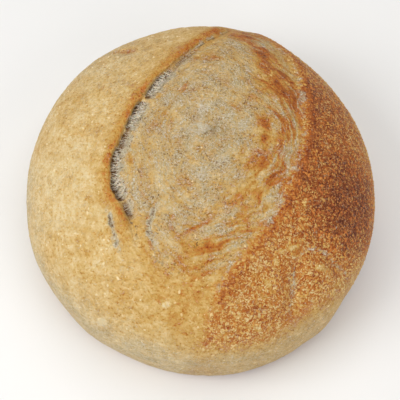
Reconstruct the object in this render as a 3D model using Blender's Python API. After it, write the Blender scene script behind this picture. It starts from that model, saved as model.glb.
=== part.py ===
"""A round sourdough loaf: one flat-bottomed domed solid with the lip, the tear and the folds of its score.

The loaf starts as one flat square grid, wrapped over the dome and down the side until its border is the rim
of the flat base. Its columns follow the curved score and stand closest there. The points are then lifted or
pushed aside by small functions, one for each feature of the crust, and the base is closed with one flat face.
Units are metres, +Z is up and the origin is the middle of the base. The curved score lies on the -X side.
"""

import math

import bmesh
import bpy
import numpy as np
from mathutils import noise

MM = 0.001

# Driving sizes of the whole loaf
WIDTH = 230 * MM
DEPTH = 240 * MM
HEIGHT = 106 * MM
BELLY_HEIGHT = 40 * MM
FOOT_SHARE = 0.905
SHOULDER_BOXINESS = 2.3
FOOT_BOXINESS = 3.4
OUTLINE_WAVES = [(2, 0.006, 0.9), (3, 0.007, 2.2), (5, 0.003, 0.4)]

# Routes of the crust's features in plan, in millimetres, from the back of the loaf to the front
SCORE_ROUTE = [
    (26, 110), (12, 96), (-2, 82), (-14, 68), (-24, 55), (-32.5, 42), (-39.5, 30), (-44.5, 19.5),
    (-48.5, 9), (-52, 0), (-54, -8), (-53.5, -18), (-49, -30), (-43, -44), (-38, -58), (-34, -70),
]
SEAM_ROUTE = [
    (28, 112), (46, 94), (60, 77), (65.5, 50), (66, 25), (63, 3),
    (55, -19), (45, -39), (31, -57), (16, -74), (8, -90), (3, -104),
]
LEFT_CREASE_ROUTE = [(-56, -33), (-55.5, -38), (-53.5, -45), (-51, -54), (-47, -66)]
FRONT_CREASE_ROUTE = [(-24, -31), (-26, -36), (-30.5, -45), (-30, -54), (-26, -64)]
CURL_ROUTE = [(-15, -40), (-17.5, -48), (-12.5, -54), (-5, -51), (1, -48), (9, -44.5)]
KNOB_ROUTE = [
    (55, -97), (57, -84), (58, -76), (59, -68), (63, -62), (69, -59), (76, -60), (83, -65), (92, -67),
]
BACK_FOLD_ROUTE = [(-66, 92), (-56, 87), (-48, 82.5), (-40, 81)]

# The score's section across: distance at rest, where that goes, and its height, in millimetres.
# The open one has the curled lip of the skin, the cavity under it and the torn wall; the shut one only a lip.
OPEN_SECTION = [
    (-26, -26, 0), (-15, -14.9, 0.7), (-9, -8.8, 1.9), (-5.5, -5.4, 3.0), (-3.2, -3.1, 3.4), (-1.8, -1.7, 3.0),
    (-0.8, -1.0, 1.9), (0.1, -1.4, 0.3), (1.0, -2.0, -1.8), (1.9, -2.0, -3.8), (2.9, -0.6, -4.9), (4, 1.2, -4.2),
    (5.4, 3.4, -2.4), (7.2, 6.2, -0.9), (10, 9.6, -0.2), (14, 13.8, 0.3), (20, 20, 0.4), (30, 30, 0),
]
SHUT_SECTION = [
    (-26, -26, 0), (-14, -14, 0.8), (-7, -7, 2.2), (-3.5, -3, 2.6), (-1, -0.6, 0.9), (0.5, 0.3, -1.0),
    (2.5, 2.4, -0.9), (6, 6, 0.2), (14, 14, 0.3), (30, 30, 0),
]
# Where the score has torn open along Y: middle, half length and share of the full gape, in millimetres
TEARS = [
    (70, 13, 0.3), (49, 12, 0.8), (25, 11, 0.9), (8, 8, 0.45), (-6, 11, 0.8), (-24, 9, 1.0), (-39, 7, 0.4),
]
TEAR_TAPER = 0.6
SCORE_FADE = 30 * MM

# Swell of the opened middle, the step at its far seam, and the folds round it
BLOOM_CENTRE = (8 * MM, 10 * MM)
BLOOM_RADIUS = 60 * MM
BLOOM_SWELL = 1.8 * MM
SEAM_STEP = 1.3 * MM
SEAM_WIDTH = 7 * MM
CREASE_DEPTH = 1.8 * MM
CREASE_WIDTH = 3 * MM
KNOB_DEPTH = 2.4 * MM
KNOB_WIDTH = 6 * MM
KNOB_CENTRE = (76 * MM, -80 * MM)
KNOB_RADIUS = 20 * MM
KNOB_SWELL = 2 * MM
FOLD_DEPTH = 2.2 * MM
FOLD_WIDTH = 4 * MM
FOOT_FADE = 14 * MM

# Slow unevenness of the whole crust
UNEVEN_HEIGHT = 1.2 * MM
UNEVEN_SIZE = 38 * MM

# Mesh density: how many columns and rows, and where, how widely and how much closer they stand
COLUMNS = 72
ROWS = 60
COLUMN_PACKING = (-0.32, 0.11, 3.4)
ROW_PACKING = (0.1, 0.5, 0.7)
RING_PLAN = [(0.0, 0.0), (0.55, 0.5), (0.87, 0.93), (1.0, 1.0)]
ROUTE_STEP = 1.0 * MM

CRUST_COLOUR = (0.55, 0.33, 0.13, 1.0)
CRUST_ROUGHNESS = 0.75


def smoothstep(low, high, value):
    share = np.clip((value - low) / (high - low), 0.0, 1.0)
    return share * share * (3.0 - 2.0 * share)


def profile_table():
    """The loaf's half section: distance along it from the top to the foot, radius and height."""
    turn = np.linspace(0.0, math.pi / 2, 400)
    shoulder = 2.0 / SHOULDER_BOXINESS
    foot = 2.0 / FOOT_BOXINESS
    upper_radius = np.sin(turn) ** shoulder
    upper_height = BELLY_HEIGHT + (HEIGHT - BELLY_HEIGHT) * np.cos(turn) ** shoulder
    lower_radius = FOOT_SHARE + (1.0 - FOOT_SHARE) * np.cos(turn) ** foot
    lower_height = BELLY_HEIGHT * (1.0 - np.sin(turn) ** foot)
    radius = np.concatenate([upper_radius, lower_radius[1:]])
    height = np.concatenate([upper_height, lower_height[1:]])
    steps = np.hypot(np.diff(radius) * WIDTH / 2, np.diff(height))
    run = np.concatenate([[0.0], np.cumsum(steps)])
    return run / run[-1], radius, height


RUN, RADIUS, LEVEL = profile_table()


def dome_point(run, angle):
    """Points of the plain dome, at a share of the run from the top to the foot and an angle round it."""
    waves = 1.0 + sum(size * np.cos(count * angle + start) for count, size, start in OUTLINE_WAVES)
    reach = np.interp(run, RUN, RADIUS) * waves
    x = WIDTH / 2 * reach * np.cos(angle)
    y = DEPTH / 2 * reach * np.sin(angle)
    return np.stack([x, y, np.interp(run, RUN, LEVEL)], axis=-1)


def dome_normal(run, angle):
    """Outward directions of the plain dome."""
    step = 4e-3
    run = np.clip(run, 2 * step, 1.0 - step)
    down = dome_point(run + step, angle) - dome_point(run - step, angle)
    around = dome_point(run, angle + step) - dome_point(run, angle - step)
    across = np.cross(down, around)
    return across / np.linalg.norm(across, axis=-1, keepdims=True)


def dome_place(x, y):
    """Run and angle of the plain dome over points in plan."""
    angle = np.arctan2(y / DEPTH, x / WIDTH)
    waves = 1.0 + sum(size * np.cos(count * angle + start) for count, size, start in OUTLINE_WAVES)
    share = np.hypot(x / WIDTH, y / DEPTH) * 2.0 / waves
    belly = np.argmax(RADIUS)
    return np.interp(share, RADIUS[: belly + 1], RUN[: belly + 1]), angle


def smooth_route(knots):
    """A smooth line on the dome through knots in plan, in even steps."""
    knots = np.array(knots, float) * MM
    ends = np.vstack([2 * knots[0] - knots[1], knots, 2 * knots[-1] - knots[-2]])
    share = np.linspace(0.0, 1.0, 24, endpoint=False)[:, None]
    spans = []
    for a, b, c, d in zip(ends[:-3], ends[1:-2], ends[2:-1], ends[3:]):
        bend = (2 * a - 5 * b + 4 * c - d) * share**2 + (3 * b - a - 3 * c + d) * share**3
        spans.append(b + 0.5 * ((c - a) * share + bend))
    plan = np.vstack([*spans, knots[-1:]])
    line = dome_point(*dome_place(plan[:, 0], plan[:, 1]))
    run = np.concatenate([[0.0], np.cumsum(np.linalg.norm(np.diff(line, axis=0), axis=1))])
    even = np.linspace(0.0, run[-1], round(run[-1] / ROUTE_STEP))
    return np.column_stack([np.interp(even, run, line[:, axis]) for axis in range(3)])


def grid_place(run, angle):
    """Flat grid coordinates of places on the dome: the turned squares of the grid become its rings."""
    ring = np.interp(run, [share for _, share in RING_PLAN], [ring for ring, _ in RING_PLAN])
    quarter = np.round(angle / (math.pi / 2))
    along = (angle - quarter * math.pi / 2) / (math.pi / 4) * ring
    turn = quarter * math.pi / 2
    return ring * np.cos(turn) - along * np.sin(turn), ring * np.sin(turn) + along * np.cos(turn)


def dome_of_grid(u, v):
    """Run and angle of flat grid coordinates, the other way about."""
    ring = np.maximum(np.abs(u), np.abs(v))
    quarter = np.round(np.arctan2(v, u) / (math.pi / 2))
    turn = quarter * math.pi / 2
    along = v * np.cos(turn) - u * np.sin(turn)
    angle = turn + along / np.maximum(ring, 1e-9) * math.pi / 4
    return np.interp(ring, [ring for ring, _ in RING_PLAN], [share for _, share in RING_PLAN]), angle


def packed(values, centre, reach, extra):
    """Moves evenly spaced values from -1 to 1 so that they stand closer round a centre."""
    fine = np.linspace(-1.0, 1.0, 2001)
    density = 1.0 + extra * np.exp(-(((fine - centre) / reach) ** 2))
    share = np.cumsum(density) - density[0]
    return np.interp(values, 2.0 * share / share[-1] - 1.0, fine)


def bent(u, v):
    """Shifts the grid's columns sideways, so that the one they are packed round follows the score."""
    score = smooth_route(SCORE_ROUTE)
    score_u, score_v = grid_place(*dome_place(score[:, 0], score[:, 1]))
    centre = COLUMN_PACKING[0]
    order = np.argsort(score_v)
    wanted = np.interp(v, score_v[order], score_u[order]) - centre
    room = np.where(u < centre, centre + 1.0, 1.0 - centre)
    return u + wanted * (1.0 - ((u - centre) / room) ** 2)


def follow(route, points, normals):
    """For each point: its signed distance across a route, the nearest place on it, the direction across,
    and how far past an end it lies. Across points to the left of someone who walks the route backwards."""
    tangents = np.gradient(route, axis=0)
    tangents /= np.linalg.norm(tangents, axis=1, keepdims=True)
    nearest = np.empty(len(points), int)
    for start in range(0, len(points), 4000):
        gaps = points[start : start + 4000, None, :] - route[None]
        nearest[start : start + 4000] = np.argmin((gaps**2).sum(-1), axis=1)
    across = np.cross(normals, tangents[nearest])
    across /= np.linalg.norm(across, axis=1, keepdims=True)
    offset = points - route[nearest]
    past = np.abs((offset * tangents[nearest]).sum(1))
    return (offset * across).sum(1), nearest, across, past


def end_fade(route, nearest, past, length):
    """1 along a route, falling to 0 over length towards both of its ends."""
    run = nearest * ROUTE_STEP
    reach = np.minimum(run, (len(route) - 1) * ROUTE_STEP - run)
    return smoothstep(0.0, length, reach) * (1.0 - smoothstep(0.0, 4 * ROUTE_STEP, past))


def gape_at(y):
    """How far the score stands open at each place along it, from 0 to 1."""
    gape = np.zeros_like(y)
    for middle, half_length, share in TEARS:
        inside = np.clip(1.0 - ((y / MM - middle) / half_length) ** 2, 0.0, 1.0)
        gape = np.maximum(gape, share * inside**TEAR_TAPER)
    return gape


def score_moves(points, normals):
    """How far the score's section pushes each point aside, and how far up or down."""
    route = smooth_route(SCORE_ROUTE)
    distance, nearest, across, past = follow(route, points, normals)
    gape = gape_at(route[nearest, 1]) * end_fade(route, nearest, past, ROUTE_STEP)
    fade = end_fade(route, nearest, past, SCORE_FADE)
    moves = []
    for section in (OPEN_SECTION, SHUT_SECTION):
        rest, place, lift = np.array(section, float).T * MM
        aside = np.interp(distance, rest, place, left=0.0, right=0.0)
        inside = (distance > rest[0]) & (distance < rest[-1])
        moves.append((np.where(inside, aside - distance, 0.0), np.interp(distance, rest, lift)))
    (open_aside, open_lift), (shut_aside, shut_lift) = moves
    aside = shut_aside * fade + (open_aside - shut_aside * fade) * gape
    lift = shut_lift * fade + (open_lift - shut_lift * fade) * gape
    return across * aside[:, None], lift


def bloom_lift(points):
    """The middle swells a little where the score let it rise."""
    reach = np.hypot(points[:, 0] - BLOOM_CENTRE[0], points[:, 1] - BLOOM_CENTRE[1])
    return BLOOM_SWELL * (1.0 - smoothstep(0.3, 1.0, reach / BLOOM_RADIUS))


def knob_lift(points):
    """The round end of a fold, low on the front right."""
    reach = np.hypot(points[:, 0] - KNOB_CENTRE[0], points[:, 1] - KNOB_CENTRE[1])
    return KNOB_SWELL * (1.0 - smoothstep(0.2, 1.0, reach / KNOB_RADIUS))


def seam_lift(points, normals):
    """A low step where the opened middle meets the skin on its far side."""
    route = smooth_route(SEAM_ROUTE)
    distance, nearest, _, past = follow(route, points, normals)
    step = distance / SEAM_WIDTH * np.exp(-((distance / SEAM_WIDTH) ** 2))
    return 2.0 * SEAM_STEP * step * end_fade(route, nearest, past, 20 * MM)


def crease_lift(points, normals, knots, depth, width):
    """A shallow groove along a route, fading at its ends."""
    route = smooth_route(knots)
    distance, nearest, _, past = follow(route, points, normals)
    return -depth * np.exp(-((distance / width) ** 2)) * end_fade(route, nearest, past, 9 * MM)


def uneven_lift(points):
    """Slow hollows and swells of hand-shaped dough."""
    return UNEVEN_HEIGHT * np.array([noise.noise(point / UNEVEN_SIZE) for point in points])


def shaped(u, v):
    """Points of the finished crust for evenly spaced flat grid coordinates."""
    u = packed(u, *COLUMN_PACKING)
    v = packed(v, *ROW_PACKING)
    place = dome_of_grid(bent(u, v), v)
    points = dome_point(*place)
    normals = dome_normal(*place)
    aside, lift = score_moves(points, normals)
    lift = lift + bloom_lift(points) + knob_lift(points) + seam_lift(points, normals) + uneven_lift(points)
    creases = [
        (LEFT_CREASE_ROUTE, CREASE_DEPTH, CREASE_WIDTH),
        (FRONT_CREASE_ROUTE, CREASE_DEPTH, CREASE_WIDTH),
        (CURL_ROUTE, CREASE_DEPTH, CREASE_WIDTH),
        (KNOB_ROUTE, KNOB_DEPTH, KNOB_WIDTH),
        (BACK_FOLD_ROUTE, FOLD_DEPTH, FOLD_WIDTH),
    ]
    for crease in creases:
        lift = lift + crease_lift(points, normals, *crease)
    foot = smoothstep(0.0, FOOT_FADE, points[:, 2])[:, None]
    return points + foot * (aside + normals * lift[:, None])


def centred(points):
    """Shifts the loaf so that its box stands evenly round the origin."""
    middle = (points.min(axis=0) + points.max(axis=0)) / 2
    return points - [middle[0], middle[1], points[:, 2].min()]


def build_loaf_mesh():
    """The wrapped grid with its flat base, as one closed mesh."""
    bm = bmesh.new()
    bmesh.ops.create_grid(bm, x_segments=COLUMNS, y_segments=ROWS, size=1.0)
    flat = np.array([vert.co for vert in bm.verts], float)
    for vert, point in zip(bm.verts, centred(shaped(flat[:, 0], flat[:, 1]))):
        vert.co = point
    rim = [edge for edge in bm.edges if edge.is_boundary]
    bmesh.ops.holes_fill(bm, edges=rim, sides=0)
    bmesh.ops.recalc_face_normals(bm, faces=bm.faces)
    bmesh.ops.triangulate(bm, faces=bm.faces)
    mesh = bpy.data.meshes.new("loaf")
    bm.to_mesh(mesh)
    bm.free()
    return mesh


def crust_material():
    material = bpy.data.materials.new("baked_crust")
    material.use_nodes = True
    shader = material.node_tree.nodes["Principled BSDF"]
    shader.inputs["Base Color"].default_value = CRUST_COLOUR
    shader.inputs["Roughness"].default_value = CRUST_ROUGHNESS
    shader.inputs["Metallic"].default_value = 0.0
    return material


def main():
    for leftover in list(bpy.data.objects):
        bpy.data.objects.remove(leftover)
    collection = bpy.data.collections.new("sourdough_loaf")
    bpy.context.scene.collection.children.link(collection)
    mesh = build_loaf_mesh()
    mesh.materials.append(crust_material())
    mesh.shade_smooth()
    mesh.set_sharp_from_angle(angle=math.radians(60))
    loaf = bpy.data.objects.new("loaf", mesh)
    collection.objects.link(loaf)


main()
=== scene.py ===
"""Looks of a round sourdough loaf: its floury crust, the swollen middle, and the torn score.

The file is laid out as an add-on and is run as a script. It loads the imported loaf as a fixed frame, wraps a fine
crust over the same form, grows blisters and torn strands on it with Geometry Nodes, and sets a plain pale stage.
Lengths in the tables are millimetres. The score lies on the -X side and the loaf's front is towards -Y.
"""

import math
from functools import partial

import bmesh
import bpy
import numpy as np
from bpy.props import FloatProperty, FloatVectorProperty, IntProperty, PointerProperty
from mathutils import Matrix, Vector, noise


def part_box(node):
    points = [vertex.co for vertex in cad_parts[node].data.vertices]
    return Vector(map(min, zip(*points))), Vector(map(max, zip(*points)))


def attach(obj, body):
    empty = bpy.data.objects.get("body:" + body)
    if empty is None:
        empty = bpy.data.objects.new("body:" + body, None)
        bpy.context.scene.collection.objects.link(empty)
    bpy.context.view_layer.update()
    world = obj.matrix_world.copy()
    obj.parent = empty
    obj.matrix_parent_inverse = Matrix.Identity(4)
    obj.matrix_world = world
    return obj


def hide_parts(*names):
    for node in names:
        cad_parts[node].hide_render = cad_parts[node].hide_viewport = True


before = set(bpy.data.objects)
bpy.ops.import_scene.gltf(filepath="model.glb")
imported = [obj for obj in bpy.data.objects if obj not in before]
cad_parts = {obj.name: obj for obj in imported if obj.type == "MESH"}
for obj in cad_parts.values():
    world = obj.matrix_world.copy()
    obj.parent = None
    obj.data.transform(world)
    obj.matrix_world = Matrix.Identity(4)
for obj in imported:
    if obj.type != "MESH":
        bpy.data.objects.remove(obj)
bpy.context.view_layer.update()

bl_info = {
    "name": "Sourdough Loaf",
    "version": (1, 0, 0),
    "blender": (4, 5, 0),
    "location": "View3D > Sidebar > Loaf",
    "description": "Crust, blisters and torn strands of a round sourdough loaf on a plain stage",
    "category": "Object",
}

MM = 0.001
LOW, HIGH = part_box("loaf")
WIDTH, DEPTH, HEIGHT = (HIGH - LOW)

# The dome's half section, as shares of the loaf's size, and the slow waves of its outline
BELLY_SHARE = 0.375
FOOT_SHARE = 0.905
SHOULDER_BOXINESS = 2.3
FOOT_BOXINESS = 3.4
OUTLINE_WAVES = [(2, 0.006, 0.9), (3, 0.007, 2.2), (5, 0.003, 0.4)]

# Routes of the crust's features in plan, from the back of the loaf to the front
SCORE_ROUTE = [
    (26, 110), (12, 96), (-2, 82), (-14, 68), (-24, 55), (-32.5, 42), (-39.5, 30), (-44.5, 19.5),
    (-48.5, 9), (-52, 0), (-54, -8), (-53.5, -18), (-49, -30), (-43, -44), (-38, -58), (-34, -70),
]
SEAM_ROUTE = [
    (28, 112), (46, 94), (60, 77), (65.5, 50), (66, 25), (63, 3),
    (55, -19), (45, -39), (31, -57), (16, -74), (8, -90), (3, -104),
]
# Folds: route in plan, depth, width
FOLDS = {
    "left_crease": ([(-56, -33), (-55.5, -38), (-53.5, -45), (-51, -54), (-47, -66)], 1.8, 3),
    "front_crease": ([(-24, -31), (-26, -36), (-30.5, -45), (-30, -54), (-26, -64)], 1.8, 3),
    "curl": ([(-15, -40), (-17.5, -48), (-12.5, -54), (-5, -51), (1, -48), (9, -44.5)], 1.8, 2),
    "knob": (
        [(55, -97), (57, -84), (58, -76), (59, -68), (63, -62), (69, -59), (76, -60), (83, -65), (92, -67)],
        2.4, 6,
    ),
    "back_fold": ([(-66, 92), (-56, 87), (-48, 82.5), (-40, 81)], 2.2, 4),
}

FOLD_FLOUR = {"left_crease": 0.5, "front_crease": 0.6, "curl": 0.4, "knob": 0.9, "back_fold": 0.3}

# Painted shade: dark lines down in some folds, added to the bake: how far off the fold's middle, how much darker, and
# half width
SHADED_SLITS = {"back_fold": (1.0, 0.45, 1.8), "curl": (0.0, 0.28, 1.2), "front_crease": (-0.8, 0.18, 1.3)}

# The score's section across: distance at rest, where that goes, and its height
OPEN_SECTION = [
    (-26, -26, 0), (-15, -14.9, 0.7), (-9, -8.8, 1.9), (-5.5, -5.4, 3.0), (-3.2, -3.1, 3.4), (-1.8, -1.7, 3.0),
    (-0.8, -1.0, 1.9), (0.1, -1.4, 0.3), (1.0, -2.0, -1.8), (1.9, -2.0, -3.8), (2.9, -0.6, -4.9), (4, 1.2, -4.2),
    (5.4, 3.4, -2.4), (7.2, 6.2, -0.9), (10, 9.6, -0.2), (14, 13.8, 0.3), (20, 20, 0.4), (30, 30, 0),
]
SHUT_SECTION = [
    (-26, -26, 0), (-14, -14, 0.8), (-7, -7, 2.2), (-3.5, -3, 2.6), (-1, -0.6, 0.9), (0.5, 0.3, -1.0),
    (2.5, 2.4, -0.9), (6, 6, 0.2), (14, 14, 0.3), (30, 30, 0),
]
# Where the score has torn open along Y: middle, half length and share of the full gape
TEARS = [
    (70, 13, 0.3), (49, 12, 0.8), (25, 11, 0.9), (8, 8, 0.45), (-6, 11, 0.8), (-24, 9, 1.0), (-39, 7, 0.4),
]
TEAR_TAPER = 0.6
SCORE_FADE = 30
# How the edge of the lip wanders: length of a bite and its size
LIP_BITES = [(11, 1.3), (4, 0.8), (1.6, 0.45)]

BLOOM_CENTRE = (8, 10)
BLOOM_RADIUS = 60
BLOOM_SWELL = 1.8
SEAM_STEP = 1.3
SEAM_WIDTH = 7
KNOB_CENTRE = (76, -80)
KNOB_RADIUS = 20
KNOB_SWELL = 2
FOOT_FADE = 14
UNEVEN_HEIGHT = 1.2
UNEVEN_SIZE = 38

# Room that the crust leaves in the loaf's box for its blisters and strands
BOX_INSET = (0.25, 0.25, 0.7)

# Mesh density of the crust
COLUMNS = 322
ROWS = 302
COLUMN_PACKING = (-0.32, 0.11, 2.6)
ROW_PACKING = (0.1, 0.5, 0.6)
RING_PLAN = [(0.0, 0.0), (0.55, 0.5), (0.87, 0.93), (1.0, 1.0)]
ROUTE_STEP = 0.5

# Sizes of the crust's patterns in millimetres, with their detail and bend. The finest are drawn about twice as
# coarse as the real fibres and pores, so that they still show.
SKIN_PATTERNS = {
    "mottle": (9.0, 3.0, 0.0), "grain": (3.4, 3.0, 0.6), "fine": (1.7, 3.0, 0.8),
    "fibre": (1.05, 2.0, 1.2), "fleck": (1.6, 1.5, 1.0), "pore": (1.5, 1.0, 0.0),
    "hole": (1.5, 1.0, 0.4),
}
SWING = 5.0
# How far the crust is baked at each of its named colours
BAKE_STEPS = [(0.06, "pale"), (0.26, "gold"), (0.42, "tan"), (0.6, "amber"), (0.78, "russet"), (1.0, "dark")]

# Where the torn strands start from the middle of the score, and how far they hang down across it
STRAND_ROOT = 5.0
STRAND_DROP = 2.4
WALL_SLOPE = 0.6
STRAND_RISE = 0.1
# How far strands lean off that way along X, Y and Z, with the seeds of their chance
STRAND_LEAN = [(-0.7, 0.7, 22), (-0.7, 0.7, 25), (-0.6, 0.15, 26)]

# Ovals where a wide bubble lies just under the skin: place, half length, half width, turn in degrees
BUBBLES = [
    (55, -59.5, 4.6, 1.8, 30), (48, -62.4, 3, 1.6, 20), (44.8, -68, 3.6, 2.0, -30),
    (72, -68, 4.5, 2.2, 10), (63, -32, 4.2, 1.6, 80), (40, -80, 4, 1.8, -40),
    (-20, -92, 4.5, 2, 15), (83, 62, 4, 1.7, 60), (-98, 40, 4, 2, 80), (-60, -96, 5, 2.2, -20),
]

# Where the loaf faced the heat
ROASTED_SIDE = (104, -12)

# Broad areas of the crust: centre in plan, reach, how much more they are baked and floured
AREAS = {
    "hot_flank": (90, -25, 35, 0.4, -0.25),
    "far_flank": (80, 40, 30, 0.2, -0.15),
    "far_end": (30, 110, 40, 0.07, 0.0),
    "near_end": (-30, -100, 35, 0.05, 0.0),
    "left_side": (-95, -15, 40, -0.08, 0.15),
    "left_shoulder": (-60, 80, 35, 0.0, 0.35),
    "bloom_heart": (*BLOOM_CENTRE, 35, 0.0, 0.25),
}
# The bloom browns along the inside of its seam: how far in, how wide, and how much
SEAM_BROWNING = (-20, 12, 0.16, -0.45)
# How far the outlines of the broad areas wander, in millimetres
AREA_WANDER = 9.0
# How dark each side of the loaf is baked before its areas are added, and the flour on its low wall
LEFT_BAKE = 0.27
MIDDLE_BAKE = 0.33
RIGHT_BAKE = 0.62
LOW_WALL_FLOUR = 0.52


def linear(code):
    """An sRGB hex colour as linear red, green and blue."""
    channels = [int(code[place : place + 2], 16) / 255 for place in (1, 3, 5)]
    return tuple(c / 12.92 if c <= 0.04045 else ((c + 0.055) / 1.055) ** 2.4 for c in channels)


def colour_property(name, code, description):
    return FloatVectorProperty(
        name=name, description=description, subtype="COLOR", size=3, min=0.0, max=1.0, default=linear(code)
    )


def length_property(name, millimetres, description):
    return FloatProperty(name=name, description=description, unit="LENGTH", min=0.0, default=millimetres * MM)


class LoafSizes(bpy.types.PropertyGroup):
    """Sizes of the crust's fine relief and of what grows on it."""

    streak_relief: length_property("Streak relief", 0.45, "Height of the ridges that run round the swollen middle")
    skin_relief: length_property("Skin relief", 0.22, "Height of the small unevenness of the smooth skin")
    strand_spacing: length_property("Strand spacing", 0.2, "Distance between torn strands along the score")
    strand_length: length_property("Strand length", 8.0, "Length of the longest torn strands")
    strand_radius: length_property("Strand radius", 0.27, "Half thickness of a torn strand at its root")
    blister_size: length_property("Blister size", 0.95, "Width of a common crust blister")
    blister_count: IntProperty(
        name="Blisters", description="Number of blisters raised on the crust", min=0, max=4500, default=4200
    )


class LoafColours(bpy.types.PropertyGroup):
    """Colours of the crust from its palest to its darkest bake, of flour and crumb, and of the painted shade in the
    score and in small holes.
    """

    pale: colour_property("Pale gold", "#F0D9A8", "Crust that the oven only just coloured")
    gold: colour_property("Gold", "#E2BD78", "Evenly baked smooth skin")
    tan: colour_property("Tan", "#D0A04C", "Well baked skin")
    amber: colour_property("Amber", "#C87628", "Strongly baked skin and the score's lip")
    russet: colour_property("Russet", "#A2541C", "Skin that faced the heat")
    dark: colour_property("Dark", "#6E3212", "Darkest bake")
    flour: colour_property("Toasted flour", "#BCA983", "Flour that baked onto the crust")
    fresh_flour: colour_property("Flour", "#E2D8C2", "Flour that stayed pale")
    crumb: colour_property("Crumb", "#DDCFAF", "Torn crumb on the wall of the score")
    # Painted shade: this colour stands for the shadow at the bottom of the torn score, in its crumb's holes, down two
    # torn creases and in small holes of the bloom
    painted_shade: colour_property("Deep crumb", "#80592F", "Crumb at the bottom of the torn score")
    strand: colour_property("Strand", "#EDE7D8", "Stretched strands of torn crumb")


def smoothstep(low, high, value):
    share = np.clip((value - low) / (high - low), 0.0, 1.0)
    return share * share * (3.0 - 2.0 * share)


def profile_table():
    """The loaf's half section: distance along it from the top to the foot, radius and height share."""
    turn = np.linspace(0.0, math.pi / 2, 400)
    shoulder = 2.0 / SHOULDER_BOXINESS
    foot = 2.0 / FOOT_BOXINESS
    upper_radius = np.sin(turn) ** shoulder
    upper_height = BELLY_SHARE + (1.0 - BELLY_SHARE) * np.cos(turn) ** shoulder
    lower_radius = FOOT_SHARE + (1.0 - FOOT_SHARE) * np.cos(turn) ** foot
    lower_height = BELLY_SHARE * (1.0 - np.sin(turn) ** foot)
    radius = np.concatenate([upper_radius, lower_radius[1:]])
    height = np.concatenate([upper_height, lower_height[1:]])
    steps = np.hypot(np.diff(radius) * WIDTH / 2, np.diff(height) * HEIGHT)
    run = np.concatenate([[0.0], np.cumsum(steps)])
    return run / run[-1], radius, height


RUN, RADIUS, LEVEL = profile_table()


def outline_waves(angle):
    return 1.0 + sum(size * np.cos(count * angle + start) for count, size, start in OUTLINE_WAVES)


def dome_point(run, angle):
    """Points of the plain dome in millimetres, by the share of the run to the foot and the angle."""
    reach = np.interp(run, RUN, RADIUS) * outline_waves(angle) / MM
    x = WIDTH / 2 * reach * np.cos(angle)
    y = DEPTH / 2 * reach * np.sin(angle)
    return np.stack([x, y, np.interp(run, RUN, LEVEL) * HEIGHT / MM], axis=-1)


def dome_normal(run, angle):
    """Outward directions of the plain dome."""
    step = 4e-3
    run = np.clip(run, 2 * step, 1.0 - step)
    down = dome_point(run + step, angle) - dome_point(run - step, angle)
    around = dome_point(run, angle + step) - dome_point(run, angle - step)
    across = np.cross(down, around)
    return across / np.linalg.norm(across, axis=-1, keepdims=True)


def dome_place(x, y):
    """Run and angle of the plain dome over points in plan."""
    angle = np.arctan2(y / DEPTH, x / WIDTH)
    share = np.hypot(x / WIDTH, y / DEPTH) * 2.0 * MM / outline_waves(angle)
    belly = np.argmax(RADIUS)
    return np.interp(share, RADIUS[: belly + 1], RUN[: belly + 1]), angle


def rounded(knots, steps):
    """A smooth line through rows of numbers, with a given number of steps in each span."""
    knots = np.array(knots, float)
    ends = np.vstack([2 * knots[0] - knots[1], knots, 2 * knots[-1] - knots[-2]])
    share = np.linspace(0.0, 1.0, steps, endpoint=False)[:, None]
    spans = []
    for a, b, c, d in zip(ends[:-3], ends[1:-2], ends[2:-1], ends[3:]):
        bend = (2 * a - 5 * b + 4 * c - d) * share**2 + (3 * b - a - 3 * c + d) * share**3
        spans.append(b + 0.5 * ((c - a) * share + bend))
    return np.vstack([*spans, knots[-1:]])


class Route:
    """A smooth line on the dome through knots in plan, in even steps."""

    def __init__(self, knots):
        plan = rounded(knots, 24)
        line = dome_point(*dome_place(plan[:, 0], plan[:, 1]))
        run = np.concatenate([[0.0], np.cumsum(np.linalg.norm(np.diff(line, axis=0), axis=1))])
        even = np.arange(0.0, run[-1], ROUTE_STEP)
        self.line = np.column_stack([np.interp(even, run, line[:, axis]) for axis in range(3)])
        self.length = even[-1]
        self.tangents = np.gradient(self.line, axis=0)
        self.tangents /= np.linalg.norm(self.tangents, axis=1, keepdims=True)

    def follow(self, points, normals):
        """Signed distance across, run along, direction across and how far past an end each point lies."""
        nearest = np.empty(len(points), int)
        for start in range(0, len(points), 4000):
            gaps = points[start : start + 4000, None, :] - self.line[None]
            nearest[start : start + 4000] = np.argmin((gaps**2).sum(-1), axis=1)
        across = np.cross(normals, self.tangents[nearest])
        across /= np.linalg.norm(across, axis=1, keepdims=True)
        offset = points - self.line[nearest]
        ahead = (offset * self.tangents[nearest]).sum(1)
        run = np.clip(nearest * ROUTE_STEP + ahead, 0.0, self.length)
        return (offset * across).sum(1), run, across, np.abs(ahead)

    def fade(self, run, past, length):
        """1 along the route, falling to 0 over a length towards both of its ends."""
        reach = np.minimum(run, self.length - run)
        return smoothstep(0.0, length, reach) * (1.0 - smoothstep(0.0, 3.0, past))

    def at(self, run):
        return np.column_stack(
            [np.interp(run, np.arange(len(self.line)) * ROUTE_STEP, self.line[:, axis]) for axis in range(3)]
        )


def grid_place(run, angle):
    """Flat grid coordinates of places on the dome: the turned squares of the grid become its rings."""
    ring = np.interp(run, [share for _, share in RING_PLAN], [ring for ring, _ in RING_PLAN])
    quarter = np.round(angle / (math.pi / 2))
    along = (angle - quarter * math.pi / 2) / (math.pi / 4) * ring
    turn = quarter * math.pi / 2
    return ring * np.cos(turn) - along * np.sin(turn), ring * np.sin(turn) + along * np.cos(turn)


def dome_of_grid(u, v):
    """Run and angle of flat grid coordinates, the other way about."""
    ring = np.maximum(np.abs(u), np.abs(v))
    quarter = np.round(np.arctan2(v, u) / (math.pi / 2))
    turn = quarter * math.pi / 2
    along = v * np.cos(turn) - u * np.sin(turn)
    angle = turn + along / np.maximum(ring, 1e-9) * math.pi / 4
    return np.interp(ring, [ring for ring, _ in RING_PLAN], [share for _, share in RING_PLAN]), angle


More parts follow.
